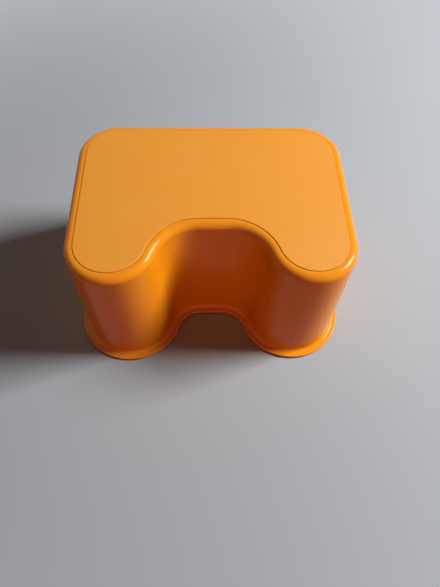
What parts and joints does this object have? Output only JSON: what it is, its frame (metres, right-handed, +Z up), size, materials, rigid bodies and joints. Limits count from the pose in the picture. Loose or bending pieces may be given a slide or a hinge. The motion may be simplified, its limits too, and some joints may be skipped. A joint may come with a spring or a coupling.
{
  "type": "step stool",
  "caption": "Low moulded plastic step stool with a wave-shaped notch in its front, rolled rim, raised grained tread, drafted walls, base flange and rubber foot pads.",
  "frame": {"origin": "on the floor, under the middle of the base flange's outline, which is also the middle of the top", "axes": "+Z up, +X to the right along the long side, -Y towards the notch in the front"},
  "size_m": [0.3708, 0.2738, 0.1893],
  "materials": {
    "orange_shell": "glossy moulded polypropylene",
    "orange_tread": "matte, finely grained",
    "foot_rubber": "matte"
  },
  "bodies": {
    "root": {"stool_body": "orange_shell", "tread_panel": "orange_tread", "foot_rear_left": "foot_rubber", "foot_rear_right": "foot_rubber", "foot_front_left": "foot_rubber", "foot_front_right": "foot_rubber", "foot_notch_left": "foot_rubber", "foot_notch_right": "foot_rubber"}
  },
  "joints": []
}
